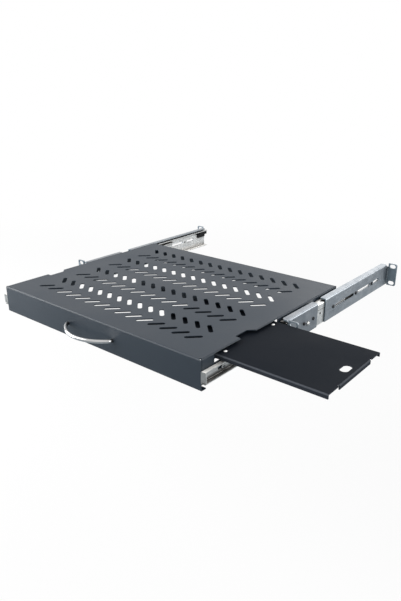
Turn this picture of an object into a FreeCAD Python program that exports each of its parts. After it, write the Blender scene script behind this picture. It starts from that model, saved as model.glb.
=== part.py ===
import FreeCAD
import Part
import math
import os

os.makedirs("parts", exist_ok=True)

Vector = FreeCAD.Vector
nothing = 1e-6

# Rack interface: nineteen inch hole positions, the outer holes of one rack unit
rack_hole_span = 465.1
rack_hole_pitch = 31.75
post_depth = 351.0
ear_height = 42.0
ear_beyond_hole = 8.05
ear_hole_to_web = 9.05
ear_corner = 3.0
ear_hole_width = 7.0
ear_hole_length = 11.0

# Keyboard tray: one folded sheet
tray_front_height = 44.0
tray_sheet = 1.5
tray_bend = 0.9
front_return = 10.0
wall_below_slide = 3.1
tray_behind_slide = 7.0
corner_relief = 1.6

# Vents: rows of slanted slots, two rows make a row of chevrons
vent_columns = 15
vent_margin = 50.4
vent_pairs = 4
vent_pair_gap = 35.0
vent_first = 45.5
vent_last = 44.0
vent_length = 25.5
vent_width = 6.7
vent_angle = 45.0

# Side tray: its place below the top, its flanges, end lip and finger hole
side_depth = 137.0
side_length = 290.0
side_out = 153.7
side_front = 33.0
side_drop = 5.0
side_sheet = 1.5
side_bend = 0.7
side_flange = 6.3
side_lip = 82.0
side_lip_relief = 3.0
finger_hole_length = 20.0
finger_hole_width = 11.5
finger_hole_inset = 13.2
side_ear_gap = 5.2

# Windows in both tray walls and finger notches in the edges of its top
window_gap_front = 6.6
window_gap_back = 1.8
window_gap_below = 3.2
notch_ahead = 19.4
notch_length = 36.1
notch_depth = 9.6
notch_corner = 2.0

# Guides that the side tray runs in, and the stop tabs riveted below it
guide_sheet = 1.5
guide_bend = 0.7
guide_foot = 11.0
guide_lip = 8.0
guide_side_gap = 0.6
guide_under_gap = 0.4
guide_end_gap = 4.0
stop_sheet = 1.5
stop_width = 8.0
stop_foot = 8.0
stop_overlap = 3.0
stop_inset = 13.5
stop_gap = 0.4
stop_rivet = 1.6
stop_head = 2.6
stop_head_height = 1.3
stop_head_gap = 0.2
stop_sunk_depth = 0.9

# Bow handle
handle_centres = 96.8
handle_reach = 26.1
handle_rod = 5.4
handle_leg = 1.5
handle_corner = 4.0
handle_screw = 1.45
handle_screw_depth = 4.0
handle_screw_head = 3.0
handle_screw_head_height = 1.8
screw_play = 0.1

# Three-member ball slide: sheets and gaps across it, heights, lengths
slide_length = 352.0
side_over_slide = 0.9
inner_height = 17.2
inner_reach = 7.2
inner_sheet = 1.2
inner_shorter = 9.5
middle_height = 23.6
middle_sheet = 1.1
middle_shorter = 25.0
outer_height = 36.0
outer_sheet = 1.3
outer_groove_above = 7.2
outer_groove_width = 1.0
outer_groove_depth = 0.5
member_bend = 0.5
member_wall_gap = 1.6
end_tab_reach = 8.3
end_tab_gap = 2.5
cage_sheet = 0.5
cage_gap = 0.4
cage_bend = 0.2
cage_length = 140.0
cage_edge_gap = 1.0
ball_play = 0.15
ball_pockets = 6
bumper_gap = 0.8
bumper_leg_end = 2.5

# Screws that hold the inner members to the tray walls, measured from the members' ends
slide_screw_from_front = 42.5
slide_screws_from_back = (147.0, 32.0)
slide_screw = 2.0
slide_screw_head = 3.6
slide_screw_head_height = 1.8
screw_slot_length = 13.0
screw_slot_shift = 4.0

# Brackets: web outside the slide, flange over it, ear turned outwards
bracket_sheet = 2.0
bracket_bend = 1.0
flange_over_slide = 2.1
flange_tray_gap = 3.9
front_flange_setback = 0.5
rear_flange_relief = 7.0
ear_slot = 3.5
ear_root_drop = 5.5
front_flange_corner = 5.0
rear_flange_corner = 1.0
web_above_foot = 0.8
front_bracket_end = 86.0
bracket_gap = 25.3
bolt_above_slide = 1.5
bolt = 2.0
bolt_head = 2.7
bolt_head_height = 1.8
front_bolts_from_end = (40.2, 12.7)
rear_bolt_shares = (0.111, 0.448, 0.712)
rear_slot_to_bolt = 6.7
rear_slot_to_ear = 38.0
rear_slot_width = 5.0
rivet_from_end = 28.6
rivet_drop = 3.1
rivet = 2.4
rivet_head = 3.6
rivet_head_height = 2.8

# The drawer stands out just far enough for the side tray to pass in front of the ears
pulled_out = side_front + side_depth + side_ear_gap

# Across the rack: the slides fit inside the brackets, and the tray between the slides
slide_width = inner_reach + middle_sheet + outer_sheet + 2 * cage_sheet + 4 * cage_gap
ear_outer = rack_hole_span / 2 + ear_beyond_hole
tray_half = rack_hole_span / 2 - ear_hole_to_web - bracket_sheet - slide_width
inner_length = slide_length - inner_shorter
tray_depth = inner_length + tray_behind_slide

# Places that follow from the sizes: keyboard tray, vents, side tray and windows
tray_top = tray_front_height / 2
tray_under = tray_top - tray_sheet
tray_front = -bracket_sheet - pulled_out
tray_back = tray_front + tray_depth
wall_inside = tray_half - tray_sheet
bend_reach = tray_bend + tray_sheet
vent_pitch = 2 * (tray_half - vent_margin) / (vent_columns - 1)
vent_pair_pitch = (tray_depth - vent_first - vent_last - vent_pair_gap) / (vent_pairs - 1)
side_top = tray_top - side_drop
side_under = side_top - side_sheet
side_foot = side_top - side_flange
side_end = tray_half + side_out
side_start = side_end - side_length
side_near = tray_front + side_front
side_far = side_near + side_depth
side_middle = (side_near + side_far) / 2
window_front = side_near - window_gap_front
window_back = side_far + window_gap_back
window_floor = side_foot - window_gap_below
stop_leg_in = wall_inside - stop_gap - stop_sheet
stop_rivet_x = stop_leg_in + stop_sheet + side_bend + stop_head + stop_head_gap
stop_places = (side_near + stop_inset, side_far - stop_inset)

# Slide: heights about its middle line, then from the tray wall outwards
slide_z = side_foot - side_over_slide - middle_height / 2
wall_foot = slide_z - inner_height / 2 - wall_below_slide
inner_cage_out = tray_half + inner_reach + cage_gap + cage_sheet
middle_in = inner_cage_out + cage_gap
middle_out = middle_in + middle_sheet
outer_cage_out = middle_out + cage_gap + cage_sheet
outer_in = outer_cage_out + cage_gap
outer_out = outer_in + outer_sheet
flange_tip = tray_half + member_wall_gap
cage_tip = flange_tip + cage_edge_gap

# Slide: along the drawer, every member at the place it has with the drawer pulled out
outer_front = -bracket_sheet
outer_back = outer_front + slide_length
inner_front = outer_front - pulled_out
middle_front = outer_front - pulled_out / 2
middle_length = slide_length - middle_shorter
shared_length = middle_length - slide_length / 2
cage_closed = outer_front + slide_length / 4 + (shared_length - cage_length) / 2
outer_cage_front = cage_closed - pulled_out / 4
inner_cage_front = cage_closed - pulled_out * 3 / 4
inner_back = inner_front + inner_length
slide_screw_places = [inner_front + slide_screw_from_front]
slide_screw_places += [inner_back - place for place in slide_screws_from_back]

# Brackets, with the slots of the rear one between its bolts
web_out = outer_out + bracket_sheet
bracket_tip = tray_half + flange_tray_gap
bracket_top = slide_z + outer_height / 2 + flange_over_slide + bracket_sheet
bracket_foot = slide_z - outer_height / 2 + web_above_foot
bolt_z = slide_z + bolt_above_slide
rivet_z = bolt_z - rivet_drop
rivet_place = front_bracket_end - rivet_from_end
front_bolt_places = [front_bracket_end - place for place in front_bolts_from_end]
rear_bracket_start = front_bracket_end + bracket_gap
rear_length = post_depth - rear_bracket_start
rear_bolt_places = [rear_bracket_start + share * rear_length for share in rear_bolt_shares]
rear_slot_starts = [place + rear_slot_to_bolt for place in rear_bolt_places]
rear_slot_ends = [place - rear_slot_to_bolt for place in rear_bolt_places[1:]]
rear_slot_ends.append(post_depth - rear_slot_to_ear)
bolt_places = front_bolt_places + rear_bolt_places
free_hole_place = (front_bracket_end + rear_bracket_start) / 2


def flat_xz(y):
    """Drawing plane across the part at y."""
    return lambda u, v: Vector(u, y, v)


def flat_yz(x):
    """Drawing plane along the part at x."""
    return lambda u, v: Vector(x, u, v)


def flat_xy(z):
    """Drawing plane seen from above at z."""
    return lambda u, v: Vector(u, v, z)


def rounded_corner(before, here, after):
    """Start, middle and end of the arc that rounds a corner (u, v, radius)."""
    point = (here[0], here[1])
    radius = here[2]
    if radius < nothing:
        return point, None, point
    back = math.atan2(before[1] - here[1], before[0] - here[0])
    ahead = math.atan2(after[1] - here[1], after[0] - here[0])
    turn = (ahead - back + math.pi) % (2 * math.pi) - math.pi
    half = abs(turn) / 2
    reach = radius / math.tan(half)
    inward = back + turn / 2
    depth = radius / math.sin(half) - radius
    start = (point[0] + reach * math.cos(back), point[1] + reach * math.sin(back))
    middle = (point[0] + depth * math.cos(inward), point[1] + depth * math.sin(inward))
    end = (point[0] + reach * math.cos(ahead), point[1] + reach * math.sin(ahead))
    return start, middle, end


def face_of(corners, plane):
    """Flat face inside an outline of corners (u, v, radius)."""
    arcs = []
    for index, here in enumerate(corners):
        after = corners[(index + 1) % len(corners)]
        arcs.append(rounded_corner(corners[index - 1], here, after))
    edges = []
    for index, arc in enumerate(arcs):
        start, middle, end = arc
        following = arcs[(index + 1) % len(arcs)][0]
        if middle is not None:
            edges.append(Part.Arc(plane(*start), plane(*middle), plane(*end)).toShape())
        if math.dist(end, following) > nothing:
            edges.append(Part.makeLine(plane(*end), plane(*following)))
    return Part.Face(Part.Wire(edges))


def run_x(corners, low, high):
    """Section drawn in y and z, run along x."""
    return face_of(corners, flat_yz(low)).extrude(Vector(high - low, 0, 0))


def run_y(corners, low, high):
    """Section drawn in x and z, run along y."""
    return face_of(corners, flat_xz(low)).extrude(Vector(0, high - low, 0))


def run_z(corners, low, high):
    """Outline drawn in x and y, run along z."""
    return face_of(corners, flat_xy(low)).extrude(Vector(0, 0, high - low))


def rectangle(low_u, high_u, low_v, high_v, radius=0):
    """Four corners of an upright rectangle, all with one radius."""
    points = [(low_u, low_v), (high_u, low_v), (high_u, high_v), (low_u, high_v)]
    return [(u, v, radius) for u, v in points]


def obround(u, v, length, width, angle=0):
    """Slot outline with round ends, its length turned by angle degrees from u."""
    radius = width / 2
    along = Vector(math.cos(math.radians(angle)), math.sin(math.radians(angle)), 0)
    across = Vector(-along.y, along.x, 0)
    corners = []
    for sign_l, sign_w in ((-1, -1), (1, -1), (1, 1), (-1, 1)):
        offset = along * (sign_l * length / 2) + across * (sign_w * radius)
        corners.append((u + offset.x, v + offset.y, radius))
    return corners


def folded(path, sheet, inside):
    """Section of a bent sheet: path is one face, the sheet lies to its left."""
    moved = []
    for start, end in zip(path, path[1:]):
        length = math.dist(start, end)
        aside = (-(end[1] - start[1]) / length * sheet, (end[0] - start[0]) / length * sheet)
        moved.append(((start[0] + aside[0], start[1] + aside[1]), (end[0] + aside[0], end[1] + aside[1])))
    face = [(path[0][0], path[0][1], 0)]
    other = [(moved[0][0][0], moved[0][0][1], 0)]
    for index in range(1, len(path) - 1):
        first = moved[index - 1]
        second = moved[index]
        run_a = (first[1][0] - first[0][0], first[1][1] - first[0][1])
        run_b = (second[1][0] - second[0][0], second[1][1] - second[0][1])
        cross = run_a[0] * run_b[1] - run_a[1] * run_b[0]
        gap = (second[0][0] - first[0][0], second[0][1] - first[0][1])
        share = (gap[0] * run_b[1] - gap[1] * run_b[0]) / cross
        meeting = (first[0][0] + share * run_a[0], first[0][1] + share * run_a[1])
        left_turn = cross > 0
        face_radius = inside + sheet if left_turn else inside
        other_radius = inside if left_turn else inside + sheet
        face.append((path[index][0], path[index][1], face_radius))
        other.append((meeting[0], meeting[1], other_radius))
    face.append((path[-1][0], path[-1][1], 0))
    other.append((moved[-1][1][0], moved[-1][1][1], 0))
    return face + other[::-1]


def rod(start, direction, radius, length):
    """Round bar from start along direction."""
    return Part.makeCylinder(radius, length, start, direction)


def mirrored(shape):
    """The same piece on the other side of the part's middle plane."""
    return shape.mirror(Vector(0, 0, 0), Vector(1, 0, 0))


def both_sides(shapes):
    """Pieces of the right side together with their mirror images."""
    return Part.makeCompound(shapes + [mirrored(shape) for shape in shapes])


def save(name, shape):
    """Write one node."""
    shape.exportStep("parts/" + name + ".step")


def save_pair(name, shape):
    """Write a right-hand piece and its left-hand mirror image."""
    save(name + "_right", shape)
    save(name + "_left", mirrored(shape))


def across(x, y, z, radius, length):
    """Round bar or hole tool along x, from x outwards."""
    return rod(Vector(x, y, z), Vector(1, 0, 0), radius, length)


# Keyboard tray: the top with both walls, then the front and rear folded down from it
def tray_walls():
    """Inverted U of the top and both side walls, between the front and rear bends."""
    path = [(tray_half, wall_foot), (tray_half, tray_top), (-tray_half, tray_top), (-tray_half, wall_foot)]
    return run_y(folded(path, tray_sheet, tray_bend), tray_front + bend_reach, tray_back - bend_reach)


def tray_front_strip():
    """Front panel with the bottom return and the bend into the top."""
    foot = tray_top - tray_front_height
    path = [
        (tray_front + bend_reach, tray_top),
        (tray_front, tray_top),
        (tray_front, foot),
        (tray_front + front_return, foot),
    ]
    return run_x(folded(path, tray_sheet, tray_bend), -tray_half, tray_half)


def tray_rear_strip():
    """Rear panel with the bend into the top."""
    path = [(tray_back, wall_foot), (tray_back, tray_top), (tray_back - bend_reach, tray_top)]
    return run_x(folded(path, tray_sheet, tray_bend), -tray_half, tray_half)


def window_tool():
    """Opening in a side wall, below the top, for the side tray."""
    outline = rectangle(window_front, window_back, window_floor, tray_under)
    return run_x(outline, wall_inside - tray_bend, tray_half + tray_sheet)


def notch_tool():
    """Finger notch in the edge of the top, square in front and ramped at the back."""
    floor = tray_half - notch_depth
    outside = tray_half + tray_sheet
    start = side_middle - notch_ahead
    ramp_end = start + notch_length
    corners = [
        (outside, start, 0),
        (floor, start, notch_corner),
        (floor, ramp_end - notch_depth, notch_corner),
        (outside, ramp_end + tray_sheet, 0),
    ]
    return run_z(corners, tray_under - tray_sheet, tray_top + tray_sheet)


def vent_tools():
    """Slanted slots: each pair of rows leans both ways and makes chevrons."""
    tools = []
    first_x = -vent_pitch * (vent_columns - 1) / 2
    for pair in range(vent_pairs):
        row_y = tray_front + vent_first + pair * vent_pair_pitch
        for lean, y in ((vent_angle, row_y), (-vent_angle, row_y + vent_pair_gap)):
            for column in range(vent_columns):
                x = first_x + column * vent_pitch
                slot = obround(x, y, vent_length, vent_width, lean)
                tools.append(run_z(slot, tray_under - tray_sheet, tray_top + tray_sheet))
    return tools


def relief_tools():
    """Small holes where the front bend meets the side bends."""
    tools = []
    for x in (tray_half - bend_reach, bend_reach - tray_half):
        start = Vector(x, tray_front + bend_reach, tray_under - tray_sheet)
        tools.append(rod(start, Vector(0, 0, 1), corner_relief, 3 * tray_sheet))
    return tools


def screw_hole_tools(start_x, sheet):
    """Clearance holes for the slide screws, through a sheet whose inner face is at start_x."""
    tools = []
    for y in slide_screw_places:
        tools.append(across(start_x - sheet, y, slide_z, slide_screw + screw_play, 3 * sheet))
    return tools


def handle_hole_tools():
    """Clearance holes for the handle screws in the front panel."""
    tools = []
    for x in (-handle_centres / 2, handle_centres / 2):
        start = Vector(x, tray_front - tray_sheet, 0)
        tools.append(rod(start, Vector(0, 1, 0), handle_screw + screw_play, 3 * tray_sheet))
    return tools


right_tools = [window_tool(), notch_tool()] + screw_hole_tools(wall_inside, tray_sheet)
tray_tools = right_tools + [mirrored(tool) for tool in right_tools]
tray_tools += vent_tools() + relief_tools() + handle_hole_tools()
tray = tray_walls().fuse([tray_front_strip(), tray_rear_strip()]).removeSplitter()
tray = tray.cut(Part.makeCompound(tray_tools))
save("keyboard_tray", tray)

# Bow handle: a round rod with short legs bent into one flat arc, tapped from behind for its screws
handle_half = handle_centres / 2
bow_rise = handle_reach - handle_leg
corner_x = handle_half - handle_corner
bow_radius = (corner_x**2 + bow_rise**2 - handle_corner**2) / (2 * (bow_rise - handle_corner))
bow_turn = math.asin(corner_x / (bow_radius - handle_corner))


def round_point(x, y, radius, angle):
    """Point on a level circle about (x, y), its angle measured from straight ahead."""
    return Vector(x + radius * math.sin(angle), y - radius * math.cos(angle), 0)


def bow_line():
    """Middle line of the bow: a leg and a corner on each side of the flat arc."""
    bow_y = tray_front - handle_reach + bow_radius
    apex = round_point(0, bow_y, bow_radius, 0)
    edges = []
    for side in (-1, 1):
        root = Vector(side * handle_half, tray_front, 0)
        bend = root - Vector(0, handle_leg, 0)
        meeting = round_point(0, bow_y, bow_radius, side * bow_turn)
        half_bend = side * (bow_turn + math.pi / 2) / 2
        middle = round_point(side * corner_x, bend.y, handle_corner, half_bend)
        flat = round_point(0, bow_y, bow_radius, side * bow_turn / 2)
        half = [Part.makeLine(root, bend)]
        half.append(Part.Arc(bend, middle, meeting).toShape())
        half.append(Part.Arc(meeting, flat, apex).toShape())
        edges += half if side < 0 else half[::-1]
    return Part.Wire(edges)


bow_end = Vector(-handle_half, tray_front, 0)
bow_section = Part.Wire([Part.makeCircle(handle_rod / 2, bow_end, Vector(0, 1, 0))])
handle = bow_line().makePipeShell([bow_section], True, False)
handle_taps = []
handle_screws = []
for x in (-handle_half, handle_half):
    seat = Vector(x, tray_front + tray_sheet, 0)
    reach = tray_sheet + handle_screw_depth
    handle_taps.append(rod(seat, Vector(0, -1, 0), handle_screw + screw_play, reach))
    shank = rod(seat, Vector(0, -1, 0), handle_screw, reach)
    head = rod(seat, Vector(0, 1, 0), handle_screw_head, handle_screw_head_height)
    handle_screws.append(shank.fuse(head))
handle = handle.cut(Part.makeCompound(handle_taps))
save("bow_handle", handle)
save("handle_screws", Part.makeCompound(handle_screws))


# Side tray: flat top with front and rear flanges and a lip at its outer end
def sunk_head(y, play):
    """Countersunk head of a stop rivet, flush with the side tray, or its seat with play."""
    start = Vector(stop_rivet_x, y, side_top - stop_sunk_depth)
    return Part.makeCone(stop_rivet + play, stop_head + play, stop_sunk_depth, start, Vector(0, 0, 1))


def side_tray():
    """Folded side tray with the relieved end lip, the finger hole and the stop rivets' holes."""
    path = [(side_far, side_foot), (side_far, side_top), (side_near, side_top), (side_near, side_foot)]
    end_reach = side_bend + side_sheet
    top = run_x(folded(path, side_sheet, side_bend), side_start, side_end)
    lip_near = side_middle - side_lip / 2
    lip_far = side_middle + side_lip / 2
    clear = rectangle(side_end - end_reach, side_end + side_sheet, lip_near, lip_far)
    clear = run_z(clear, side_under - side_sheet, side_top + side_sheet)
    lip_path = [(side_end, side_foot), (side_end, side_top), (side_end - end_reach, side_top)]
    lip = run_y(folded(lip_path, side_sheet, side_bend), lip_near, lip_far)
    hole = obround(side_end - finger_hole_inset, side_middle, finger_hole_length, finger_hole_width, 90)
    tools = [run_z(hole, side_under - side_sheet, side_top + side_sheet)]
    for low in (lip_near - side_lip_relief, lip_far):
        relief = rectangle(side_end - end_reach, side_end + side_sheet, low, low + side_lip_relief)
        tools.append(run_z(relief, side_under - side_sheet, side_top + side_sheet))
    for y in stop_places:
        start = Vector(stop_rivet_x, y, side_under - side_sheet)
        tools.append(rod(start, Vector(0, 0, 1), stop_rivet + screw_play, 3 * side_sheet))
        tools.append(sunk_head(y, screw_play))
    return top.cut(clear).fuse(lip).removeSplitter().cut(Part.makeCompound(tools))


save("mouse_tray", side_tray())

# Stop tabs below the side tray, which meet the wall of the keyboard tray, and their flush rivets
stop_tabs = []
stop_rivets = []
for y in stop_places:
    path = [
        (stop_leg_in + stop_foot, side_under),
        (stop_leg_in, side_under),
        (stop_leg_in, window_floor - stop_overlap),
    ]
    tab = run_y(folded(path, stop_sheet, side_bend), y - stop_width / 2, y + stop_width / 2)
    lower = Vector(stop_rivet_x, y, side_under - stop_sheet)
    stop_tabs.append(tab.cut(rod(lower, Vector(0, 0, 1), stop_rivet + screw_play, stop_sheet)))
    shank = rod(lower, Vector(0, 0, 1), stop_rivet, side_sheet + stop_sheet)
    low_head = rod(lower, Vector(0, 0, -1), stop_head, stop_head_height)
    stop_rivets.append(shank.fuse([low_head, sunk_head(y, 0)]))
save("stop_tabs", Part.makeCompound(stop_tabs))
save("stop_rivets", Part.makeCompound(stop_rivets))


# Guides below the top: a foot against the top, a leg beside the side tray and a lip under it
def front_guide():
    """Guide along the front flange of the side tray."""
    leg = side_near - guide_side_gap
    lip_top = side_foot - guide_under_gap
    path = [
        (leg + guide_lip, lip_top),
        (leg, lip_top),
        (leg, tray_under),
        (leg - guide_foot, tray_under),
    ]
    low = side_start - side_out + guide_end_gap
    return run_x(folded(path, guide_sheet, guide_bend), low, wall_inside - guide_end_gap)


save("mouse_guide_front", front_guide())
save("mouse_guide_rear", front_guide().mirror(Vector(0, side_middle, 0), Vector(0, 1, 0)))


# Ball slides, right side
def channel(web_face, tip, height, sheet, bend, low, high):
    """Channel with its web at web_face and its flanges pointing to the tray."""
    top = slide_z + height / 2
    foot = slide_z - height / 2
    path = [(tip, foot), (web_face, foot), (web_face, top), (tip, top)]
    return run_y(folded(path, sheet, bend), low, high)


def inner_member():
    """Channel on the tray wall, flanges outwards, with a tab closing most of its front end."""
    top = slide_z + inner_height / 2
    foot = slide_z - inner_height / 2
    tip = tray_half + inner_reach
    path = [(tip, top), (tray_half, top), (tray_half, foot), (tip, foot)]
    shape = run_y(folded(path, inner_sheet, member_bend), inner_front, inner_back)
    rooted = inner_sheet / 2
    tab = rectangle(tray_half + rooted, tray_half + end_tab_reach, foot + end_tab_gap, top - rooted)
    shape = shape.fuse(run_y(tab, inner_front, inner_front + inner_sheet)).removeSplitter()
    tools = screw_hole_tools(tray_half, inner_sheet)
    slot_y = slide_screw_places[0] - screw_slot_shift
    slot = obround(slot_y, slide_z, screw_slot_length, 2 * (slide_screw + screw_play))
    tools.append(run_x(slot, tray_half - inner_sheet, tray_half + 2 * inner_sheet))
    return shape.cut(Part.makeCompound(tools))


def rear_slot_tools():
    """Adjusting slots between the rear bolts, through the outer member and the rear bracket's web."""
    tools = []
    for low, high in zip(rear_slot_starts, rear_slot_ends):
        slot = obround((low + high) / 2, bolt_z, high - low, rear_slot_width)
        tools.append(run_x(slot, outer_in - outer_sheet, web_out + bracket_sheet))
    return tools


def outer_groove():
    """Shallow groove rolled along the outside of the outer member, above its middle line."""
    low = slide_z + outer_groove_above
    high = low + outer_groove_width
    outline = rectangle(outer_out - outer_groove_depth, outer_out + outer_sheet, low, high)
    return run_y(outline, outer_front - outer_sheet, outer_back + outer_sheet)


def outer_member():
    """Channel inside the brackets, slotted and tapped for them, with one free hole between them."""
    shape = channel(outer_out, flange_tip, outer_height, outer_sheet, member_bend, outer_front, outer_back)
    start_x = outer_in - outer_sheet
    tools = rear_slot_tools() + [outer_groove()]
    tools.append(across(start_x, rivet_place, rivet_z, rivet + screw_play, 3 * outer_sheet))
    for place in bolt_places + [free_hole_place]:
        tools.append(across(start_x, place, bolt_z, bolt + screw_play, 3 * outer_sheet))
    return shape.cut(Part.makeCompound(tools))


def middle_member():
    """Channel between the outer and the inner member."""
    end = middle_front + middle_length
    return channel(middle_out, flange_tip, middle_height, middle_sheet, member_bend, middle_front, end)


def cage(web_face, height, track, low):
    """Ball cage: a thin channel with a row of pockets in each flange for the balls of one track."""
    shape = channel(web_face, cage_tip, height, cage_sheet, cage_bend, low, low + cage_length)
    step = cage_length / ball_pockets
    pockets = []
    for index in range(ball_pockets):
        y = low + step * (index + 1 / 2)
        start = Vector((cage_tip + web_face) / 2, y, slide_z - height)
        pockets.append(rod(start, Vector(0, 0, 1), track / 2 + ball_play, 2 * height))
    return shape.cut(Part.makeCompound(pockets))


def bumper():
    """Plastic stop for the middle member at the rear end of the outer one, in its upper track."""
    track = slide_z + outer_height / 2 - outer_sheet
    clear_z = slide_z + inner_height / 2 + bumper_gap
    leg_end = slide_z + bumper_leg_end
    corners = [
        (outer_in, leg_end, 0),
        (outer_in, track, member_bend),
        (cage_tip, track, 0),
        (cage_tip, clear_z, 0),
        (middle_in, clear_z, 0),
        (middle_in, leg_end, 0),
    ]
    return run_y(corners, outer_back - middle_shorter, outer_back)


inner_track = (middle_height - inner_height) / 2 - middle_sheet
outer_track = (outer_height - middle_height) / 2 - outer_sheet
inner_cage_height = inner_height + inner_track + cage_sheet
outer_cage_height = middle_height + outer_track + cage_sheet
save_pair("slide_inner", inner_member())
save_pair("slide_middle", middle_member())
save_pair("slide_outer", outer_member())
save_pair("inner_cage", cage(inner_cage_out, inner_cage_height, inner_track, inner_cage_front))
save_pair("outer_cage", cage(outer_cage_out, outer_cage_height, outer_track, outer_cage_front))
save_pair("rear_bumper", bumper())

# Screws from the inner members into the tray walls
slide_screws = []
for y in slide_screw_places:
    shank = across(wall_inside, y, slide_z, slide_screw, tray_sheet + inner_sheet)
    head = across(tray_half + inner_sheet, y, slide_z, slide_screw_head, slide_screw_head_height)
    slide_screws.append(shank.fuse(head))
save("slide_screws", both_sides(slide_screws))


# Brackets, right side
def folded_bracket(path, slot_low, slot_high, flange_low, flange_high, front_corner):
    """Bracket bent along path: an ear turned outwards, a web and a flange over the slide."""
    half_height = ear_height / 2
    strip = run_z(folded(path, bracket_sheet, bracket_bend), -half_height, half_height)
    ear = rectangle(outer_in, ear_outer, -half_height, half_height)
    ear[1] = (ear_outer, -half_height, ear_corner)
    ear[2] = (ear_outer, half_height, ear_corner)
    strip = strip.common(run_y(ear, -post_depth, 2 * post_depth))
    flange_root = bracket_top - bracket_bend - bracket_sheet
    ear_edge = web_out + bracket_bend
    beside_ear = rectangle(outer_in, ear_edge, -post_depth, 2 * post_depth)
    above = run_z(beside_ear, flange_root, ear_height)
    below = run_z(beside_ear, -ear_height, bracket_foot)
    slot = run_z(rectangle(outer_in, ear_edge, slot_low, slot_high), bracket_top - ear_root_drop, ear_height)
    flange_path = [(web_out, flange_root), (web_out, bracket_top), (bracket_tip, bracket_top)]
    flange = run_y(folded(flange_path, bracket_sheet, bracket_bend), flange_low, flange_high)
    outline = rectangle(bracket_tip, web_out, flange_low, flange_high)
    outline[0] = (bracket_tip, flange_low, front_corner)
    flange = flange.common(run_z(outline, flange_root, bracket_top))
    shape = strip.cut([above, below, slot]).fuse(flange).removeSplitter()
    holes = []
    for z in (-rack_hole_pitch / 2, rack_hole_pitch / 2):
        hole = obround(rack_hole_span / 2, z, ear_hole_length, ear_hole_width)
        holes.append(run_y(hole, -post_depth, 2 * post_depth))
    return shape.cut(Part.makeCompound(holes))


def front_bracket():
    """Short bracket behind the front ear."""
    ear_y = -bracket_sheet
    path = [(outer_out, front_bracket_end), (outer_out, ear_y), (ear_outer, ear_y)]
    flange_low = ear_y + front_flange_setback
    shape = folded_bracket(path, ear_y, ear_slot, flange_low, front_bracket_end, front_flange_corner)
    tools = [across(outer_in, rivet_place, rivet_z, rivet + screw_play, 3 * bracket_sheet)]
    for place in front_bolt_places:
        tools.append(across(outer_in, place, bolt_z, bolt + screw_play, 3 * bracket_sheet))
    return shape.cut(Part.makeCompound(tools))


def rear_bracket():
    """Long bracket in front of the rear ear, with adjusting slots in its web."""
    ear_y = post_depth + bracket_sheet
    path = [(ear_outer, ear_y), (outer_out, ear_y), (outer_out, rear_bracket_start)]
    flange_high = post_depth - rear_flange_relief
    slot_low = post_depth - ear_slot
    shape = folded_bracket(path, slot_low, ear_y, rear_bracket_start, flange_high, rear_flange_corner)
    tools = rear_slot_tools()
    for place in rear_bolt_places:
        tools.append(across(outer_in, place, bolt_z, bolt + screw_play, 3 * bracket_sheet))
    return shape.cut(Part.makeCompound(tools))


save_pair("front_bracket", front_bracket())
save_pair("rear_bracket", rear_bracket())


# Bolts and rivets that join the brackets to the outer members
def headed_pin(place, z, radius, head, head_height):
    """Pin through the outer member and the web, its head outside."""
    shank = across(outer_in, place, z, radius, outer_sheet + bracket_sheet)
    return shank.fuse(across(web_out, place, z, head, head_height))


bolts = []
for place in bolt_places:
    bolts.append(headed_pin(place, bolt_z, bolt, bolt_head, bolt_head_height))
save("bracket_bolts", both_sides(bolts))
save("bracket_rivets", both_sides([headed_pin(rivet_place, rivet_z, rivet, rivet_head, rivet_head_height)]))
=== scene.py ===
import math

import bmesh
import bpy
import numpy as np
from mathutils import Euler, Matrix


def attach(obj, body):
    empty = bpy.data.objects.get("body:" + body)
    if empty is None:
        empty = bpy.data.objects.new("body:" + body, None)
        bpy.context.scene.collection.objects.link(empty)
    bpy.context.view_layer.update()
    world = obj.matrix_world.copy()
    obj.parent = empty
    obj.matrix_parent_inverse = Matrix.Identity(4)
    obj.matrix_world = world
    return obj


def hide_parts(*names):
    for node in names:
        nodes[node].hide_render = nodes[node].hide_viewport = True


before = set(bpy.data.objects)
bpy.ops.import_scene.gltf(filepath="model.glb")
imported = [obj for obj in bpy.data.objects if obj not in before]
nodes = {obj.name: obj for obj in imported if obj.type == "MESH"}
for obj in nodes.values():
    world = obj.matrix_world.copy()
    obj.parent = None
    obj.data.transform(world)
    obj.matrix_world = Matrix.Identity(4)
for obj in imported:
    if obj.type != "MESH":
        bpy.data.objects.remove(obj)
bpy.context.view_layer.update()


# Rack brackets: folded steel with a blue zinc plating, bolted to the rack posts
# by the slotted ears. The plating has a cloudy bloom and faint rolling lines.
# The front brackets take a darker copy of the rear plating's colours: painted shade for the shadow that
# they lie in.
front_shaded_blue = (0.222, 0.242, 0.266, 1)
front_shaded_pale = (0.320, 0.336, 0.358, 1)
rear_blue = (0.262, 0.287, 0.312, 1)
rear_pale = (0.380, 0.402, 0.425, 1)
bracket_rough = (0.34, 0.50)
bracket_cloud = 55.0
# Depth of the painted shade in the brackets' corners and gaps.
bracket_shade_depth = 0.7
# Painted shade: a darker tint, with its roughness, for the ears' faces across y.
ear_facing_shade = ((0.70, 0.80, 0.85, 1), 0.85)
# Painted shade in corners and gaps takes this share of a finish's dark colour.
crevice_shade_share = 0.06
plain_white = (1, 1, 1, 1)


def new_finish(name):
    """Material with one Principled shader; returns the material, its tree and the shader."""
    finish = bpy.data.materials.new(name)
    finish.use_nodes = True
    tree = finish.node_tree
    return finish, tree, tree.nodes["Principled BSDF"]


def feed(tree, node, **inputs):
    """Set or link inputs of a node, each named by its label, with _ for a blank, or by number, as _3."""
    for key, value in inputs.items():
        socket = node.inputs[int(key[1:])] if key[0] == "_" else node.inputs[key.replace("_", " ")]
        if isinstance(value, bpy.types.NodeSocket):
            tree.links.new(value, socket)
        else:
            socket.default_value = value


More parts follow.
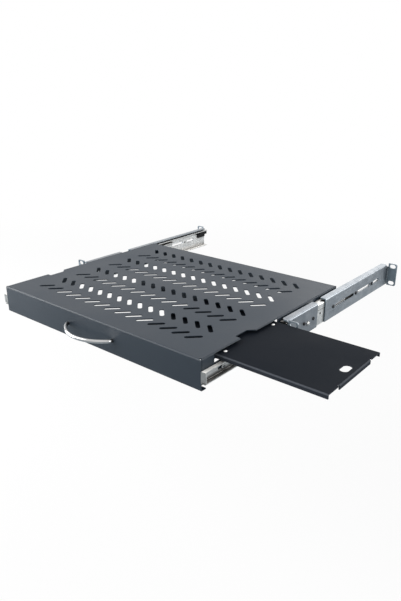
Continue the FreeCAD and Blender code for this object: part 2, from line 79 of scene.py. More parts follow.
def put(tree, kind, settings=None, **inputs):
    """One shader node of a kind, with its settings and the values or links of its inputs."""
    node = tree.nodes.new("ShaderNode" + kind)
    for key, value in (settings or {}).items():
        setattr(node, key, value)
    feed(tree, node, **inputs)
    return node


def noise(tree, place, scale, detail, roughness=0.5):
    """Noise over a place, finer with a larger scale."""
    node = put(tree, "TexNoise", Vector=place, Scale=scale, Detail=detail, Roughness=roughness)
    return node.outputs["Fac"]


def reckon(tree, operation, *values):
    """Result of one operation on one, two or three values."""
    inputs = {"_%d" % place: value for place, value in enumerate(values)}
    return put(tree, "Math", {"operation": operation}, **inputs).outputs[0]


def spread(tree, value, low=0.0, high=1.0, onto=(0.0, 1.0)):
    """Value carried in a straight line from the range low to high onto another, and held at its ends."""
    return put(tree, "MapRange", _0=value, _1=low, _2=high, _3=onto[0], _4=onto[1]).outputs[0]


def blend(tree, share, first, second):
    """Colour that goes from first to second as the share goes from 0 to 1."""
    return put(tree, "Mix", {"data_type": "RGBA"}, _0=share, _6=first, _7=second).outputs[2]


def between(tree, share, first, second):
    """Value that goes from first to second as the share goes from 0 to 1."""
    return put(tree, "Mix", _0=share, _2=first, _3=second).outputs[0]


def own_place(tree):
    """Place of a point in the part's frame."""
    return put(tree, "TexCoord").outputs["Object"]


def own_facing(tree):
    """Direction that the surface faces in the part's frame, as three values."""
    return put(tree, "SeparateXYZ", _0=put(tree, "TexCoord").outputs["Normal"]).outputs


def new_effect(name, inputs, outputs):
    """Node group with named values as inputs and named masks as outputs; returns group, entry and exit."""
    group = bpy.data.node_groups.new(name, "ShaderNodeTree")
    for label, value in inputs.items():
        socket = group.interface.new_socket(label, in_out="INPUT", socket_type="NodeSocketFloat")
        socket.default_value = value
    for label in outputs:
        group.interface.new_socket(label, in_out="OUTPUT", socket_type="NodeSocketFloat")
    entry = group.nodes.new("NodeGroupInput")
    leave = group.nodes.new("NodeGroupOutput")
    return group, entry.outputs, leave


def use_effect(tree, group, **values):
    """Place a node group in a material with its own values; returns the group's outputs."""
    node = tree.nodes.new("ShaderNodeGroup")
    node.node_tree = group
    feed(tree, node, **values)
    return node.outputs


def make_plating_bloom():
    """Cloud: slow noise between 0 and 1. Lines: noise drawn out along y. Height: half the lines and a
    fine grit."""
    inputs = {"Cloud Scale": 60.0, "Line Scale": 900.0}
    group, entry, leave = new_effect("plating_bloom", inputs, ("Cloud", "Lines", "Height"))
    place = own_place(group)
    slow = noise(group, place, entry["Cloud Scale"], 5.0, 0.62)
    cloud = spread(group, slow, 0.33, 0.67)
    drawn = put(group, "Mapping", Vector=place, Scale=(1.0, 0.02, 1.0)).outputs[0]
    fine = noise(group, drawn, entry["Line Scale"], 3.0)
    lines = spread(group, fine, 0.3, 0.7)
    grit = noise(group, place, 2600.0, 2.0)
    height = reckon(group, "MULTIPLY_ADD", lines, 0.5, grit)
    feed(group, leave, Cloud=cloud, Lines=lines, Height=height)
    return group


def make_edge_rub():
    """Mask: one where the surface turns within a small radius, broken up by noise, zero on flats."""
    group, entry, leave = new_effect("edge_rub", {"Break Scale": 300.0}, ("Mask",))
    rounded = put(group, "Bevel", {"samples": 6}, Radius=0.0007).outputs[0]
    straight = put(group, "NewGeometry").outputs["Normal"]
    turn = put(group, "VectorMath", {"operation": "DOT_PRODUCT"}, _0=rounded, _1=straight).outputs["Value"]
    edge = spread(group, turn, 0.995, 0.80)
    broken = noise(group, own_place(group), entry["Break Scale"], 4.0)
    patchy = spread(group, broken, 0.30, 0.62)
    feed(group, leave, Mask=reckon(group, "MULTIPLY", edge, patchy))
    return group


def make_crevice_shade():
    """Open: one where the surface lies open, falling towards zero in corners and gaps within a reach; it
    masks painted shade.
    """
    group, entry, leave = new_effect("crevice_shade", {"Reach": 0.008, "Depth": 1.0}, ("Open",))
    near = put(group, "AmbientOcclusion", {"samples": 8}, Distance=entry["Reach"]).outputs["AO"]
    feed(group, leave, Open=reckon(group, "POWER", near, entry["Depth"]))
    return group


plating_bloom = make_plating_bloom()
edge_rub = make_edge_rub()
crevice_shade = make_crevice_shade()


def make_plating(name, dark, pale, rough_range, cloud_scale, crevice_shade_depth=1.5, facing_shade=None, dull=None):
    """Plated steel: colour between dark and pale by the bloom, paler rubbed edges, painted shade in corners
    and gaps that grows with its depth, lined roughness. Facing shade: a darker painted-shade tint for the
    faces across y, and their roughness. Dull: a height above which upper faces lose that shade, and their
    roughness."""
    finish, tree, shader = new_finish(name)
    bloom = use_effect(tree, plating_bloom, Cloud_Scale=cloud_scale)
    rub = use_effect(tree, edge_rub)["Mask"]
    # Painted shade: this mask falls towards zero in corners and gaps, where the colour is darkened.
    unshaded = use_effect(tree, crevice_shade, Depth=crevice_shade_depth)["Open"]
    facing = own_facing(tree)
    tone = blend(tree, bloom["Cloud"], dark, pale)
    toned = blend(tree, rub, tone, pale)
    rough = spread(tree, bloom["Lines"], onto=rough_range)
    # Painted shade: faces across y take a darker tint.
    if facing_shade is not None:
        shade_tint, facing_rough = facing_shade
        ends = spread(tree, reckon(tree, "ABSOLUTE", facing["Y"]), 0.80, 0.97)
        facing_shaded = blend(tree, ends, plain_white, shade_tint)
        toned = put(tree, "VectorMath", {"operation": "MULTIPLY"}, _0=toned, _1=facing_shaded).outputs[0]
        rough = between(tree, ends, rough, facing_rough)
    if dull is not None:
        dull_height, dull_rough = dull
        place = put(tree, "SeparateXYZ", _0=own_place(tree)).outputs
        high = reckon(tree, "GREATER_THAN", place["Z"], dull_height)
        lying = spread(tree, facing["Z"], 0.75, 0.95)
        upper = reckon(tree, "MULTIPLY", high, lying)
        unshaded = reckon(tree, "MAXIMUM", unshaded, upper)
        rough = between(tree, upper, rough, dull_rough)
    # Colour of the painted shade in corners and gaps, a dark share of the plating's dark colour.
    crevice_shade_colour = tuple(crevice_shade_share * part for part in dark[:3]) + (1,)
    crevice_shaded = blend(tree, unshaded, crevice_shade_colour, toned)
    bump = put(tree, "Bump", Strength=0.18, Distance=0.00004, Height=bloom["Height"]).outputs[0]
    feed(tree, shader, Base_Color=crevice_shaded, Roughness=rough, Normal=bump, Metallic=1.0)
    return finish


def dress(names, finish):
    """Give CAD nodes one finish in every material slot."""
    for name in names:
        mesh = nodes[name].data
        mesh.materials.clear()
        mesh.materials.append(finish)


front_shaded_zinc = make_plating(
    "front_shaded_zinc", front_shaded_blue, front_shaded_pale, bracket_rough, bracket_cloud, bracket_shade_depth, ear_facing_shade)
rear_zinc = make_plating(
    "rear_zinc", rear_blue, rear_pale, bracket_rough, bracket_cloud, bracket_shade_depth, ear_facing_shade)
dress(["front_bracket_left", "front_bracket_right"], front_shaded_zinc)
dress(["rear_bracket_left", "rear_bracket_right"], rear_zinc)


# Outer slide members: bright zinc channels, roll formed, that carry the ball
# tracks and are bolted to the brackets.
slide_dark = (0.675, 0.663, 0.642, 1)
slide_pale = (0.895, 0.886, 0.862, 1)
slide_rough = (0.30, 0.44)
slide_cloud = 90.0
# Depth of the painted shade in the slides' corners and gaps.
slide_shade_depth = 2.2
# Painted shade: a darker tint, with its roughness, for the slides' end faces across y.
slide_end_shade = ((0.45, 0.45, 0.45, 1), 0.40)
outer_zinc = make_plating(
    "outer_zinc", slide_dark, slide_pale, slide_rough, slide_cloud, slide_shade_depth, slide_end_shade)
dress(["slide_outer_left", "slide_outer_right"], outer_zinc)


# Bolts that join the brackets to the outer members: black pan heads with a
# cross recess, five on each side, with their shanks in the tapped channel.
bolt_face = 0.2235
bolt_level = -0.0005
bolt_places = (0.0458, 0.0733, 0.1379, 0.2187, 0.2820)
bolt_head = (0.0027, 0.0018)
bolt_shank = (0.0020, 0.0033)
cross_depth = 0.0009
bolt_black = (0.016, 0.016, 0.018, 1)
bolt_rubbed = (0.20, 0.20, 0.21, 1)
bolt_rough = (0.28, 0.52)


def headed(head, shank, recess, around=56):
    """Closed fastener about its axis, from the radius and height of its head and of its shank: a profile
    runs from the crown over the rim, under the head and down the shank to its end; a cross of depth
    recess is pressed into the crown."""
    radius, tall = head
    thin, deep = shank
    crown_share = 0.86
    drop = 0.30 * tall
    arm = 0.13 * radius
    arm_reach = 0.58 * radius
    crown = np.linspace(0, crown_share, 16) * radius
    crown_height = tall - drop * (crown / radius) ** 2
    turn = np.linspace(0, math.pi / 2, 6)[1:]
    rim = radius * (crown_share + (1 - crown_share) * np.sin(turn))
    rim_height = crown_height[-1] - drop * (1 - np.cos(turn))
    tail = np.array([[radius, 0], [thin, 0], [thin, 0.2 * thin - deep], [0.8 * thin, -deep], [0, -deep]])
    out = np.concatenate([crown, rim, tail[:, 0]])
    up = np.concatenate([crown_height, rim_height, tail[:, 1]])
    angle = np.linspace(0, 2 * math.pi, around, endpoint=False)
    side = out[:, None] * np.cos(angle)
    aside = out[:, None] * np.sin(angle)
    narrow = np.minimum(np.abs(side), np.abs(aside))
    pressed = np.clip((arm - narrow) / (0.35 * arm) + 0.5, 0, 1)
    inside = np.clip((arm_reach - out[:, None]) / (0.07 * radius), 0, 1)
    top = (np.arange(len(out)) < len(crown))[:, None]
    height = up[:, None] - recess * pressed * inside * top
    return np.stack([side, aside, height], axis=-1)


def set_along(shape, places, axis):
    """Copies of a shape built along z, its z turned to axis, one at each place."""
    along = np.array(axis, float)
    first = np.array([0, 0, 1.0]) if abs(along[2]) < 0.5 else np.array([1.0, 0, 0])
    second = np.cross(along, first)
    turned = shape[..., :1] * first + shape[..., 1:2] * second + shape[..., 2:] * along
    return turned[None] + np.array(places, float)[:, None, None, :]


def on_both_sides(shape, face, places, level):
    """Copies of a shape at places along y: on the right at face, turned to +x, and on the left at -face,
    turned to -x."""
    right = set_along(shape, [(face, y, level) for y in places], (1, 0, 0))
    left = set_along(shape, [(-face, y, level) for y in places], (-1, 0, 0))
    return [right, left]


def surface(name, grids, finish, body, sharp=35.0):
    """One mesh from grids of points, copies x rows x columns: the columns run round and close, each
    cell is a face, doubled points at poles are merged and the faces turned outwards."""
    verts = []
    faces = []
    start = 0
    for grid in grids:
        copies, rows, columns = grid.shape[:3]
        index = start + np.arange(copies * rows * columns).reshape(copies, rows, columns)
        ahead = np.roll(index, -1, axis=2)
        cells = np.stack([index[:, :-1], index[:, 1:], ahead[:, 1:], ahead[:, :-1]], axis=-1)
        faces.append(cells.reshape(-1, 4))
        verts.append(grid.reshape(-1, 3))
        start += index.size
    mesh = bpy.data.meshes.new(name)
    mesh.from_pydata(np.concatenate(verts).tolist(), [], np.concatenate(faces).tolist())
    tidy = bmesh.new()
    tidy.from_mesh(mesh)
    bmesh.ops.remove_doubles(tidy, verts=tidy.verts, dist=1e-7)
    bmesh.ops.recalc_face_normals(tidy, faces=tidy.faces)
    tidy.to_mesh(mesh)
    tidy.free()
    mesh.polygons.foreach_set("use_smooth", np.ones(len(mesh.polygons), bool))
    mesh.set_sharp_from_angle(angle=math.radians(sharp))
    mesh.materials.append(finish)
    piece = bpy.data.objects.new(name, mesh)
    bpy.context.scene.collection.objects.link(piece)
    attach(piece, body)
    return piece


def make_blackened(name):
    """Blackened steel: oily change of roughness and paler rubbed edges."""
    finish, tree, shader = new_finish(name)
    oil = noise(tree, own_place(tree), 420.0, 4.0)
    rub = use_effect(tree, edge_rub)["Mask"]
    tone = blend(tree, rub, bolt_black, bolt_rubbed)
    rough = spread(tree, oil, onto=bolt_rough)
    feed(tree, shader, Base_Color=tone, Roughness=rough, Metallic=0.6)
    return finish


bolt_shape = headed(bolt_head, bolt_shank, cross_depth)
bolt_grids = on_both_sides(bolt_shape, bolt_face, bolt_places, bolt_level)
bolts = surface("bracket_bolt_set", bolt_grids, make_blackened("black_bolt"), "rails")
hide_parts("bracket_bolts")


# Rivets that pin the front brackets to the outer members: bright domed heads
# with the small dimple that the setting pin leaves.
rivet_along = 0.0574
rivet_level = -0.0036
rivet_head = (0.0036, 0.0028)
rivet_shank = (0.0024, 0.0033)
rivet_dimple = 0.0006
rivet_dark = (0.46, 0.46, 0.45, 1)
rivet_pale = (0.62, 0.62, 0.61, 1)
rivet_rough = (0.22, 0.38)
small_cloud = 400.0


def crown_line(head, dimple=0.0):
    """Radius and height from the middle of a head to its rim: the height is a cosine of the radius,
    less a round dimple in the middle."""
    radius, tall = head
    out = np.linspace(0, 1, 22) * radius
    up = tall * (0.25 + 0.75 * np.cos(0.5 * math.pi * (out / radius) ** 1.6))
    up -= dimple * np.clip((0.30 * radius - out) / (0.10 * radius), 0, 1)
    return np.stack([out, up], axis=-1)


def shank_line(head, shank):
    """Radius and height from a head's rim along its underside and down the shank."""
    thin, deep = shank
    return np.array([[head[0], 0], [thin, 0], [thin, -deep]])


def spun(lines, around=48):
    """Surface of revolution: each point of a row of lines of radii and heights runs round z."""
    line = np.concatenate(lines)
    angle = np.linspace(0, 2 * math.pi, around, endpoint=False)
    out = line[:, :1]
    up = np.repeat(line[:, 1:], around, axis=1)
    return np.stack([out * np.cos(angle), out * np.sin(angle), up], axis=-1)


rivet_end = [[0, -rivet_shank[1]]]
rivet_shape = spun([crown_line(rivet_head, rivet_dimple), shank_line(rivet_head, rivet_shank), rivet_end])
rivet_grids = on_both_sides(rivet_shape, bolt_face, [rivet_along], rivet_level)
rivet_zinc = make_plating("rivet_zinc", rivet_dark, rivet_pale, rivet_rough, small_cloud)
rivets = surface("bracket_rivet_set", rivet_grids, rivet_zinc, "rails")
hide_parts("bracket_rivets")


# Rear stops: black moulded blocks in the upper track of each outer member, with
# upright grooves across their inner faces and a rounded rear end.
block_outer = 0.2202
block_leg = 0.2178
block_inner = 0.2119
block_top = 0.0147
block_step = 0.0074
block_bottom = 0.0005
block_corner = 0.0005
block_middle = (0.2200, 0.0110)
block_front = 0.3250
block_back = 0.3500
block_round = 0.0014
groove_pitch = 0.0030
groove_depth = 0.0006
block_black = (0.008, 0.008, 0.009, 1)
block_rubbed = (0.024, 0.024, 0.027, 1)
block_rough = (0.45, 0.65)


def grooved_block(side, rows=160):
    """Block with an L-shaped section run along y: its inner corners give way outwards by grooves, a
    squared cosine of y, and by a quarter circle at the rear; each end closes to a point inside the L."""
    fixed = [[block_outer, block_bottom], [block_outer, block_top - block_corner],
             [block_outer - block_corner, block_top]]
    giving = [[block_inner, block_top], [block_inner, block_step], [block_leg, block_step],
              [block_leg, block_bottom]]
    section = np.array(fixed + giving)
    gives = np.arange(len(section)) >= len(fixed)
    along = np.linspace(block_front, block_back, rows)
    wave = np.clip(np.cos(2 * math.pi * (along - block_front) / groove_pitch), 0, 1) ** 2
    past = np.clip(along - block_back + block_round, 0, None)
    give = groove_depth * wave + block_round - np.sqrt(block_round**2 - past**2)
    across = side * (section[:, 0] + give[:, None] * gives)
    height = np.repeat(section[None, :, 1], rows, axis=0)
    skin = np.stack([across, np.repeat(along[:, None], len(section), axis=1), height], axis=-1)
    first = np.tile([side * block_middle[0], block_front, block_middle[1]], (1, len(section), 1))
    last = np.tile([side * block_middle[0], block_back, block_middle[1]], (1, len(section), 1))
    return np.concatenate([first, skin, last])[None]


def make_moulded(name):
    """Moulded plastic: a fine grain in the bump, slow change of roughness, paler rubbed edges."""
    finish, tree, shader = new_finish(name)
    place = own_place(tree)
    grain = noise(tree, place, 1800.0, 3.0)
    slow = noise(tree, place, 70.0, 3.0)
    rub = use_effect(tree, edge_rub)["Mask"]
    tone = blend(tree, rub, block_black, block_rubbed)
    rough = spread(tree, slow, onto=block_rough)
    bump = put(tree, "Bump", Strength=0.6, Distance=0.00006, Height=grain).outputs[0]
    feed(tree, shader, Base_Color=tone, Roughness=rough, Normal=bump, Specular_IOR_Level=0.25)
    return finish


black_stop = make_moulded("black_stop")
for hand, side in (("left", -1), ("right", 1)):
    rear_stop = surface("rear_stop_" + hand, [grooved_block(side)], black_stop, "rails")
    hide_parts("rear_bumper_" + hand)


# Ball cages: thin pressed channels that keep the steel balls apart. The balls
# run between the flanges of the members, above and below the middle line.
slide_level = -0.0020
cage_length = 0.140
balls_a_row = 6
cage_dark = (0.84, 0.86, 0.88, 1)
cage_pale = (0.93, 0.94, 0.95, 1)
cage_rough = (0.24, 0.40)
cage_cloud = 200.0
# Depth of the painted shade in the cages' corners and gaps, nearly none.
cage_shade_depth = 0.05
ball_dark = (0.55, 0.55, 0.55, 1)
ball_pale = (0.66, 0.66, 0.66, 1)
ball_rough = (0.08, 0.14)
cage_zinc = make_plating("cage_zinc", cage_dark, cage_pale, cage_rough, cage_cloud, cage_shade_depth)
dress(["inner_cage_left", "inner_cage_right", "outer_cage_left", "outer_cage_right"], cage_zinc)
ball_steel = make_plating("ball_steel", ball_dark, ball_pale, ball_rough, small_cloud)


def ball(radius, around=24):
    """Sphere from pole to pole: rings of radius sin t at height cos t, times the ball's radius."""
    t = np.linspace(0, math.pi, around // 2 + 1)[:, None]
    angle = np.linspace(0, 2 * math.pi, around, endpoint=False)
    height = np.cos(t) + 0 * angle
    return radius * np.stack([np.sin(t) * np.cos(angle), np.sin(t) * np.sin(angle), height], axis=-1)


def fill_cages(name, body, radius, across, front, aside):
    """Balls in both rows of a pair of cages: at across on either side, evenly along the cage from its
    front end, and aside above and below the slide's middle."""
    steps = (np.arange(balls_a_row) + 0.5) * cage_length / balls_a_row
    side, row, step = np.meshgrid((-1, 1), (-1, 1), steps, indexing="ij")
    spots = np.stack([side * across, front + step, slide_level + row * aside], axis=-1).reshape(-1, 3)
    balls = surface(name, [set_along(ball(radius), spots, (0, 0, 1))], ball_steel, body, sharp=60.0)


fill_cages("inner_ball_set", "inner_cages", radius=0.0010, across=0.21465, front=-0.0399, aside=0.00965)
fill_cages("outer_ball_set", "outer_cages", radius=0.0024, across=0.21585, front=0.0477, aside=0.01425)


# Middle slide members: bright zinc channels between the outer and the inner
# ones, which follow the drawer at half its travel.
# Depth of the painted shade in the middle members' corners and gaps.
middle_shade_depth = 3.0
middle_zinc = make_plating(
    "middle_zinc", slide_dark, slide_pale, slide_rough, slide_cloud, middle_shade_depth, slide_end_shade)
dress(["slide_middle_left", "slide_middle_right"], middle_zinc)


# Keyboard tray: one folded steel sheet with slanted vent slots, under a fine
# satin powder coat in blue anthracite that thins out along the sharp edges.
tray_colour = (0.0105, 0.0200, 0.0330, 1)
# Colour of the upright faces: painted light, lighter than the level top.
tray_upright_lit = (0.0165, 0.0255, 0.0375, 1)
tray_edge = (0.022, 0.030, 0.040, 1)
tray_rough = (0.40, 0.50)
tray_shine = 0.46
bend_rough = 0.60


def make_coat_grain():
    """Peel: soft cells of the flowed coat. Speck: fine grains. Cloud: slow change over the sheet."""
    group, entry, leave = new_effect("coat_grain", {"Peel Scale": 900.0}, ("Peel", "Speck", "Cloud"))
    place = own_place(group)
    peel = noise(group, place, entry["Peel Scale"], 2.0, 0.45)
    speck = spread(group, noise(group, place, 3200.0, 1.0), 0.35, 0.65)
    cloud = spread(group, noise(group, place, 9.0, 4.0, 0.55), 0.3, 0.7)
    feed(group, leave, Peel=peel, Speck=speck, Cloud=cloud)
    return group


coat_grain = make_coat_grain()


def make_coat(name, colour, rim, edge, rough_range, shine, bend_highlight=0.0):
    """Powder coat: the colour on level sheet, the rim's on folded flanges as painted light, both flecked by
    specks and clouds, duller along the bends, worn to the edge's colour at edges and, by the bend strength,
    lifted to it along the bends as a painted highlight, with the peel in the bump."""
    finish, tree, shader = new_finish(name)
    grain = use_effect(tree, coat_grain)
    rub = use_effect(tree, edge_rub)["Mask"]
    level = reckon(tree, "ABSOLUTE", own_facing(tree)["Z"])
    folded = spread(tree, level, 0.95, 0.55)
    # Painted light: upright faces take the lighter rim colour.
    plain = blend(tree, folded, colour, rim)
    fleck = spread(tree, grain["Speck"], onto=(0.88, 1.10))
    drift = spread(tree, grain["Cloud"], onto=(0.94, 1.06))
    both = reckon(tree, "MULTIPLY", fleck, drift)
    tone = put(tree, "VectorMath", {"operation": "SCALE"}, _0=plain, Scale=both).outputs[0]
    leaving = spread(tree, level, 0.99, 0.90)
    upright = spread(tree, level, 0.10, 0.30)
    bent = reckon(tree, "MULTIPLY", leaving, upright)
    # Painted highlight: along the bends the colour is lifted towards the edge colour.
    thin = reckon(tree, "MULTIPLY", bent, bend_highlight)
    wear_and_highlight = reckon(tree, "MAXIMUM", rub, thin)
    worn_and_lit = blend(tree, wear_and_highlight, tone, edge)
    satin = spread(tree, grain["Cloud"], onto=rough_range)
    rough = between(tree, bent, satin, bend_rough)
    bump = put(tree, "Bump", Strength=0.30, Distance=0.00005, Height=grain["Peel"]).outputs[0]
    feed(tree, shader, Base_Color=worn_and_lit, Roughness=rough, Normal=bump, Specular_IOR_Level=shine)
    return finish


tray_coat = make_coat("tray_coat", tray_colour, tray_upright_lit, tray_edge, tray_rough, tray_shine)
dress(["keyboard_tray"], tray_coat)


# Inner slide members: bright zinc channels screwed to the tray walls, three
# cross-recess pan heads on each side.
screw_face = 0.2105
screw_places = (-0.1347, 0.0183, 0.1333)
screw_head = (0.0036, 0.0018)
screw_shank = (0.0020, 0.0027)
# Upper faces above the slide's middle are spared the painted shade and made rougher.
flange_dull = (slide_level, 0.80)
inner_zinc = make_plating(
    "inner_zinc", slide_dark, slide_pale, slide_rough, slide_cloud, slide_shade_depth, slide_end_shade, flange_dull)
dress(["slide_inner_left", "slide_inner_right"], inner_zinc)
screw_shape = headed(screw_head, screw_shank, cross_depth)
screw_grids = on_both_sides(screw_shape, screw_face, screw_places, slide_level)
slide_screws = surface("slide_screw_set", screw_grids, rivet_zinc, "drawer")
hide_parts("slide_screws")


# Bow handle: a round steel rod with short legs, bent to a flat arc and polished
# chrome, held by two screws through the front panel.
panel_face = -0.1772
bow_half = 0.0484
bow_reach = 0.0261
bow_leg = 0.0015
bow_corner = 0.0040
bow_rod = 0.0027
chrome_colour = (0.56, 0.56, 0.56)
chrome_rough = (0.04, 0.11)
chrome_wipe = (0.92, 1.06)
# Reach and depth of the painted shade that darkens the chrome near its seats on the panel.
seat_shade_reach = 0.014
seat_shade_depth = 2.2
handle_seat = -0.1757
handle_screw_head = (0.0030, 0.0018)
handle_screw_shank = (0.00145, 0.0055)
handle_cross_depth = 0.0008


def bow_line():
    """Middle line in x and y: a straight leg, a corner arc, the flat arc that touches both corners,
    and the same again mirrored; the flat arc's radius follows from the reach and the corners' places."""
    rise = bow_reach - bow_leg
    aside = bow_half - bow_corner
    radius = (aside**2 + rise**2 - bow_corner**2) / (2 * (rise - bow_corner))
    turn = math.asin(aside / (radius - bow_corner))
    leg = np.stack([np.full(6, -bow_half), np.linspace(0, -bow_leg, 6)], axis=-1)
    bend = np.linspace(math.pi / 2, turn, 16)
    corner = np.stack([-aside - bow_corner * np.sin(bend), -bow_leg - bow_corner * np.cos(bend)], axis=-1)
    sweep = np.linspace(-turn, 0, 60)
    flat = np.stack([radius * np.sin(sweep), radius - bow_reach - radius * np.cos(sweep)], axis=-1)
    half = np.concatenate([leg[:-1], corner[:-1], flat])
    return np.concatenate([half[:-1], half[::-1] * (-1, 1)])


def bent_rod(line, rod, around=40):
    """Rod about a level line: a circle of radius rod stands square to it, spanned by the line's outward
    normal and z; both ends close to a point."""
    path = np.concatenate([line + (0, panel_face), np.zeros((len(line), 1))], axis=1)
    run = np.gradient(path, axis=0)
    run /= np.linalg.norm(run, axis=1)[:, None]
    upward = np.array([0, 0, 1.0])
    outward = np.cross(run, upward)
    angle = np.linspace(0, 2 * math.pi, around, endpoint=False)[None, :, None]
    skin = path[:, None] + rod * (outward[:, None] * np.cos(angle) + upward * np.sin(angle))
    first = np.repeat(path[:1, None], around, axis=1)
    last = np.repeat(path[-1:, None], around, axis=1)
    return np.concatenate([first, skin, last])[None]


def make_chrome(name):
    """Polished chrome: nearly smooth, with faint wipe marks in the roughness and the colour, darkened by
    painted shade towards its seats on the panel."""
    finish, tree, shader = new_finish(name)
    wiped = noise(tree, own_place(tree), 160.0, 6.0, 0.6)
    rough = spread(tree, wiped, 0.3, 0.7, chrome_rough)
    shade = spread(tree, wiped, onto=chrome_wipe)
    # Painted shade: the chrome darkens in the corners near the panel.
    unshaded = use_effect(tree, crevice_shade, Reach=seat_shade_reach, Depth=seat_shade_depth)["Open"]
    toned = reckon(tree, "MULTIPLY", shade, unshaded)
    tone = put(tree, "VectorMath", {"operation": "SCALE"}, _0=chrome_colour, Scale=toned).outputs[0]
    feed(tree, shader, Base_Color=tone, Roughness=rough, Metallic=1.0)
    return finish


bow_grid = bent_rod(bow_line(), bow_rod)
bow = surface("bow_handle_rod", [bow_grid], make_chrome("bow_chrome"), "drawer", sharp=60.0)
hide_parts("bow_handle")
handle_screw_shape = headed(handle_screw_head, handle_screw_shank, handle_cross_depth)
handle_screw_places = [(-bow_half, handle_seat, 0), (bow_half, handle_seat, 0)]
handle_screw_grid = set_along(handle_screw_shape, handle_screw_places, (0, 1, 0))
handle_screws = surface("handle_screw_set", [handle_screw_grid], rivet_zinc, "drawer")
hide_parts("handle_screws")


# Guides of the side tray: two folded rails below the top of the keyboard tray,
# coated with it.
dress(["mouse_guide_front", "mouse_guide_rear"], tray_coat)


# Side tray: a folded sheet in a darker, duller coat, with a finger hole at its outer end and stop tabs
# below it. Painted light makes its upright faces lighter, and a paler painted highlight runs along its
# bends.
side_colour = (0.0105, 0.0135, 0.0190, 1)
# Colour of the upright faces: painted light, lighter than the level top.
side_upright_lit = (0.034, 0.039, 0.048, 1)
# Colour of worn edges and of the painted highlight along the bends.
side_edge_and_highlight = (0.110, 0.120, 0.138, 1)
side_rough = (0.46, 0.58)
side_shine = 0.03
# Strength of the painted highlight along the bends.
side_bend_highlight = 0.75
side_coat = make_coat("side_coat", side_colour, side_upright_lit, side_edge_and_highlight, side_rough, side_shine, side_bend_highlight)
dress(["mouse_tray", "stop_tabs"], side_coat)


# Stop rivets: low bright domes on the side tray near its inner edge, with a
# second head below that holds the stop tabs.
stop_level = 0.0170
stop_across = 0.2109
stop_places = [(stop_across, -0.1307, stop_level), (stop_across, -0.0207, stop_level)]
stop_head = (0.0028, 0.0010)
stop_foot = (0.0026, 0.0013)
stop_shank = (0.0016, 0.0030)
stop_dark = (0.80, 0.80, 0.79, 1)
stop_pale = (0.92, 0.92, 0.91, 1)
stop_rough = (0.35, 0.50)
# Depth of the painted shade in the stop rivets' corners, kept small.
stop_shade_depth = 0.2
stop_rim = [[stop_foot[0], 0]]
stop_under = np.concatenate([stop_rim, crown_line(stop_foot)[::-1] * (1, -1)]) - (0, stop_shank[1])
stop_shape = spun([crown_line(stop_head), shank_line(stop_head, stop_shank), stop_under])
stop_zinc = make_plating("stop_zinc", stop_dark, stop_pale, stop_rough, small_cloud, stop_shade_depth)
stop_grid = set_along(stop_shape, stop_places, (0, 0, 1))
stop_set = surface("stop_rivet_set", [stop_grid], stop_zinc, "mouse_tray")
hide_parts("stop_rivets")


# Floor: a wide white sheet some way below the drawer, which hangs above it as
# it does in a rack. It takes the drawer's shadow.
floor_level = -0.34
floor_half = 40.0
floor_white = (0.85, 0.85, 0.85, 1)
floor_shade = (0.230, 0.285, 0.325, 1)
floor_own = 0.90
floor_mirror = 0.24
floor_near = 0.9
floor_far = 2.4


def seen_directly(tree):
    """Two factors of a ray: one if it comes from the camera, and one if it is mirrored or passes glass."""
    rays = put(tree, "LightPath").outputs
    mirrored = reckon(tree, "MAXIMUM", rays["Is Glossy Ray"], rays["Is Transmission Ray"])
    return rays["Is Camera Ray"], mirrored


def make_floor(name):
    """Matt floor that takes the shadow. The camera sees it nearly all as its own white, wholly so far
    from the drawer; mirrors see a share of that white over a cool shade."""
    finish, tree, shader = new_finish(name)
    direct, mirrored = seen_directly(tree)
    place = put(tree, "NewGeometry").outputs["Position"]
    away = put(tree, "VectorMath", {"operation": "LENGTH"}, _0=place).outputs["Value"]
    own = put(tree, "MapRange", {"interpolation_type": "SMOOTHSTEP"},
              _0=away, _1=floor_near, _2=floor_far, _3=floor_own).outputs[0]
    share = reckon(tree, "MULTIPLY_ADD", direct, own, reckon(tree, "MULTIPLY", mirrored, floor_mirror))
    glow = put(tree, "Emission", Color=plain_white, Strength=1.0).outputs[0]
    shown = put(tree, "MixShader", _0=share, _1=shader.outputs[0], _2=glow).outputs[0]
    feed(tree, tree.nodes["Material Output"], Surface=shown)
    paint = blend(tree, direct, floor_shade, floor_white)
    feed(tree, shader, Base_Color=paint, Roughness=0.9, Specular_IOR_Level=0.0)
    return finish


floor_square = np.array([[-1, -1, 0], [1, -1, 0], [1, 1, 0], [-1, 1, 0]])
floor_corners = floor_half * floor_square + (0, 0, floor_level)
floor_mesh = bpy.data.meshes.new("floor")
floor_mesh.from_pydata(floor_corners.tolist(), [], [(0, 1, 2, 3)])
floor_mesh.materials.append(make_floor("floor_white"))
floor = bpy.data.objects.new("floor", floor_mesh)
bpy.context.scene.collection.objects.link(floor)


# Studio: a white room that the camera and mirrors see, with a weak even light,
# and square soft lamps on the left, on the right and behind.
ambient_light = 0.06


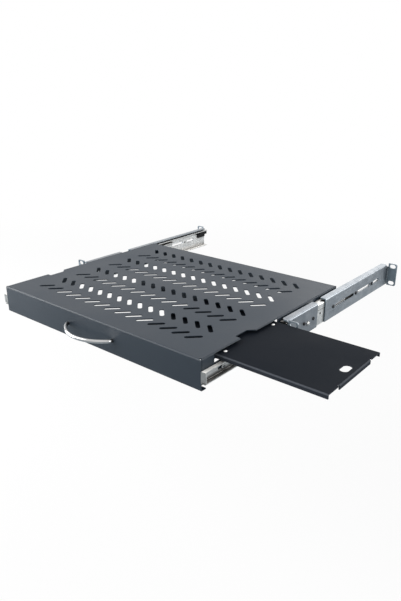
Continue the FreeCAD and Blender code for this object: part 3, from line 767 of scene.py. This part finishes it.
def make_studio():
    """World: white for the camera and for mirrors; other rays get an even, weak light."""
    world = bpy.data.worlds.new("studio")
    world.use_nodes = True
    tree = world.node_tree
    even = tree.nodes["Background"]
    feed(tree, even, Color=plain_white, Strength=ambient_light)
    direct, mirrored = seen_directly(tree)
    seen = reckon(tree, "MAXIMUM", direct, mirrored)
    white = put(tree, "Background", Color=plain_white, Strength=1.0).outputs[0]
    around = put(tree, "MixShader", _0=seen, _1=even.outputs[0], _2=white).outputs[0]
    feed(tree, tree.nodes["World Output"], Surface=around)
    return world


def lamp(name, place, size, power):
    """Square soft lamp at place, facing the middle of the frame."""
    light = bpy.data.lights.new(name, "AREA")
    light.size = size
    light.energy = power
    holder = bpy.data.objects.new(name, light)
    holder.location = place
    across, along, up = place
    tilt = math.atan2(math.hypot(across, along), up)
    holder.rotation_euler = Euler((tilt, 0, math.atan2(across, -along)))
    bpy.context.scene.collection.objects.link(holder)


bpy.context.scene.world = make_studio()
lamp("key_left", (-1.5, -1.3, 1.5), size=1.4, power=24.0)
lamp("low_left", (-1.8, -0.9, 0.5), size=1.5, power=62.0)
lamp("fill_right", (1.9, -1.0, 1.0), size=1.2, power=21.5)
lamp("low_back", (1.5, 1.2, 0.3), size=0.8, power=11.5)
lamp("back_right", (1.4, 1.6, 1.0), size=1.2, power=8.0)
lamp("back", (-0.2, 2.2, 1.2), size=1.4, power=9.0)


# Camera: looks down at the drawer from the front right. Its place, its turn
# and its focal length were fitted to the photograph.
camera_place = (0.60254, -0.64842, 0.33501)
camera_round = 39.8705
camera_down = 21.0168
camera_roll = -0.0649
camera_focal = 33.9609
camera_sensor = 36.0
camera_near = 0.02
camera_far = 60.0
camera_data = bpy.data.cameras.new("camera")
camera_data.sensor_width = camera_sensor
camera_data.lens = camera_focal
camera_data.clip_start = camera_near
camera_data.clip_end = camera_far
camera = bpy.data.objects.new("camera", camera_data)
camera.location = camera_place
aimed = Euler((0, 0, math.radians(camera_round))).to_matrix()
aimed = aimed @ Euler((math.radians(90 - camera_down), 0, 0)).to_matrix()
aimed = aimed @ Euler((0, 0, math.radians(camera_roll))).to_matrix()
camera.rotation_euler = aimed.to_euler()
bpy.context.scene.collection.objects.link(camera)
bpy.context.scene.camera = camera
bpy.context.scene.view_settings.view_transform = "Standard"
